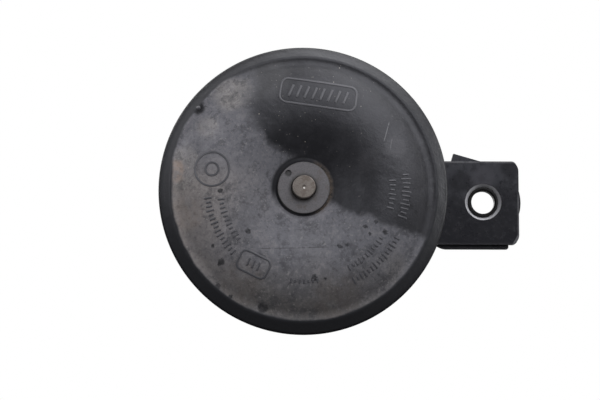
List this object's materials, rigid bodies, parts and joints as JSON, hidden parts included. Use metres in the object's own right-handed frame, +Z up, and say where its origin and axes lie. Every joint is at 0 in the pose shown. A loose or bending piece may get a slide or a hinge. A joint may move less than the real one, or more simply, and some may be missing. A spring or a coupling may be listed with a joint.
{
  "type": "car horn",
  "caption": "Electric disc horn with a domed tone disc, pressed steel housing and blade terminals, on a flat laminated bracket with one bolt hole.",
  "frame": {"origin": "middle of the bracket's bolt hole, where the front plate meets the rear leaf", "axes": "-Y is the way the tone disc faces, +Z is up, and the bracket reaches from the horn towards +X"},
  "size_m": [0.1301, 0.0584, 0.1],
  "materials": {
    "disc_paint": "satin black, worn and dusty",
    "washer_steel": "dull dark grey",
    "armature_steel": "dull, lightly rusted",
    "plain_steel": "plain",
    "spring_steel": "fine",
    "black_paint": "satin black",
    "gasket_fibre": "plain",
    "rivet_steel": "plain",
    "bobbin_plastic": "moulded",
    "copper": "enamelled copper",
    "contact_metal": "plain",
    "insulator": "laminated board",
    "plated_steel": "zinc plated",
    "carrier_plastic": "moulded",
    "terminal_brass": "tinned",
    "bracket_paint": "gloss black, scuffed",
    "eyelet_steel": "black, bare at the edge"
  },
  "bodies": {
    "horn": {"diaphragm": "spring_steel", "clamp_ring": "black_paint", "front_gasket": "gasket_fibre", "rear_gasket": "gasket_fibre", "flange_rivets": "rivet_steel", "housing": "black_paint", "pole_core": "plain_steel", "coil_bobbin": "bobbin_plastic", "coil_winding": "copper", "coil_plate": "plain_steel", "coil_plate_rivets": "rivet_steel", "breaker_leaf_spring": "spring_steel", "fixed_contact_arm": "plain_steel", "fixed_contact_point": "contact_metal", "breaker_base_insulator": "insulator", "breaker_middle_insulator": "insulator", "breaker_top_insulator": "insulator", "breaker_clamp_plate": "plain_steel", "breaker_rivets": "rivet_steel", "adjusting_screw": "plated_steel", "adjusting_screw_tip": "insulator", "adjusting_screw_bush": "plated_steel", "adjusting_lock_nut": "plated_steel", "terminal_carrier": "carrier_plastic", "terminal_inner_insulator": "insulator", "blade_terminals": "terminal_brass", "terminal_rivets": "rivet_steel", "coil_lead_to_terminal": "copper", "coil_lead_to_breaker": "copper", "breaker_lead_to_terminal": "copper", "bracket_front_plate": "bracket_paint", "bracket_rear_leaf": "bracket_paint", "bracket_end_plate": "bracket_paint", "bracket_eyelet": "eyelet_steel", "bracket_washer": "plated_steel", "bracket_spring_washer": "plated_steel", "bracket_nut": "plated_steel"},
    "striker": {"armature": "armature_steel", "diaphragm_front_washer": "plain_steel", "diaphragm_rear_washer": "plain_steel", "stud_collar": "plain_steel", "tone_disc": "disc_paint", "tone_disc_washer": "washer_steel"},
    "contact_arm": {"moving_contact_arm": "plain_steel", "moving_contact_point": "contact_metal"}
  },
  "joints": [
    {"name": "armature_stroke", "type": "slide", "parent": "horn", "child": "striker", "axis": [0, 1, 0], "range_m": [0, 0.0006], "stiffness_N_per_m": 20000, "deforming": ["diaphragm"]},
    {"name": "contact_arm_hinge", "type": "hinge", "parent": "horn", "child": "contact_arm", "pos_m": [-0.0661, -0.02205, 0.0257], "axis": [1, 0, 0], "range_deg": [0, 2.7], "deforming": ["breaker_leaf_spring"]}
  ],
  "couplings": [
    {"joint": "contact_arm_hinge", "follows": "armature_stroke", "rad_per_m": 76.923}
  ]
}
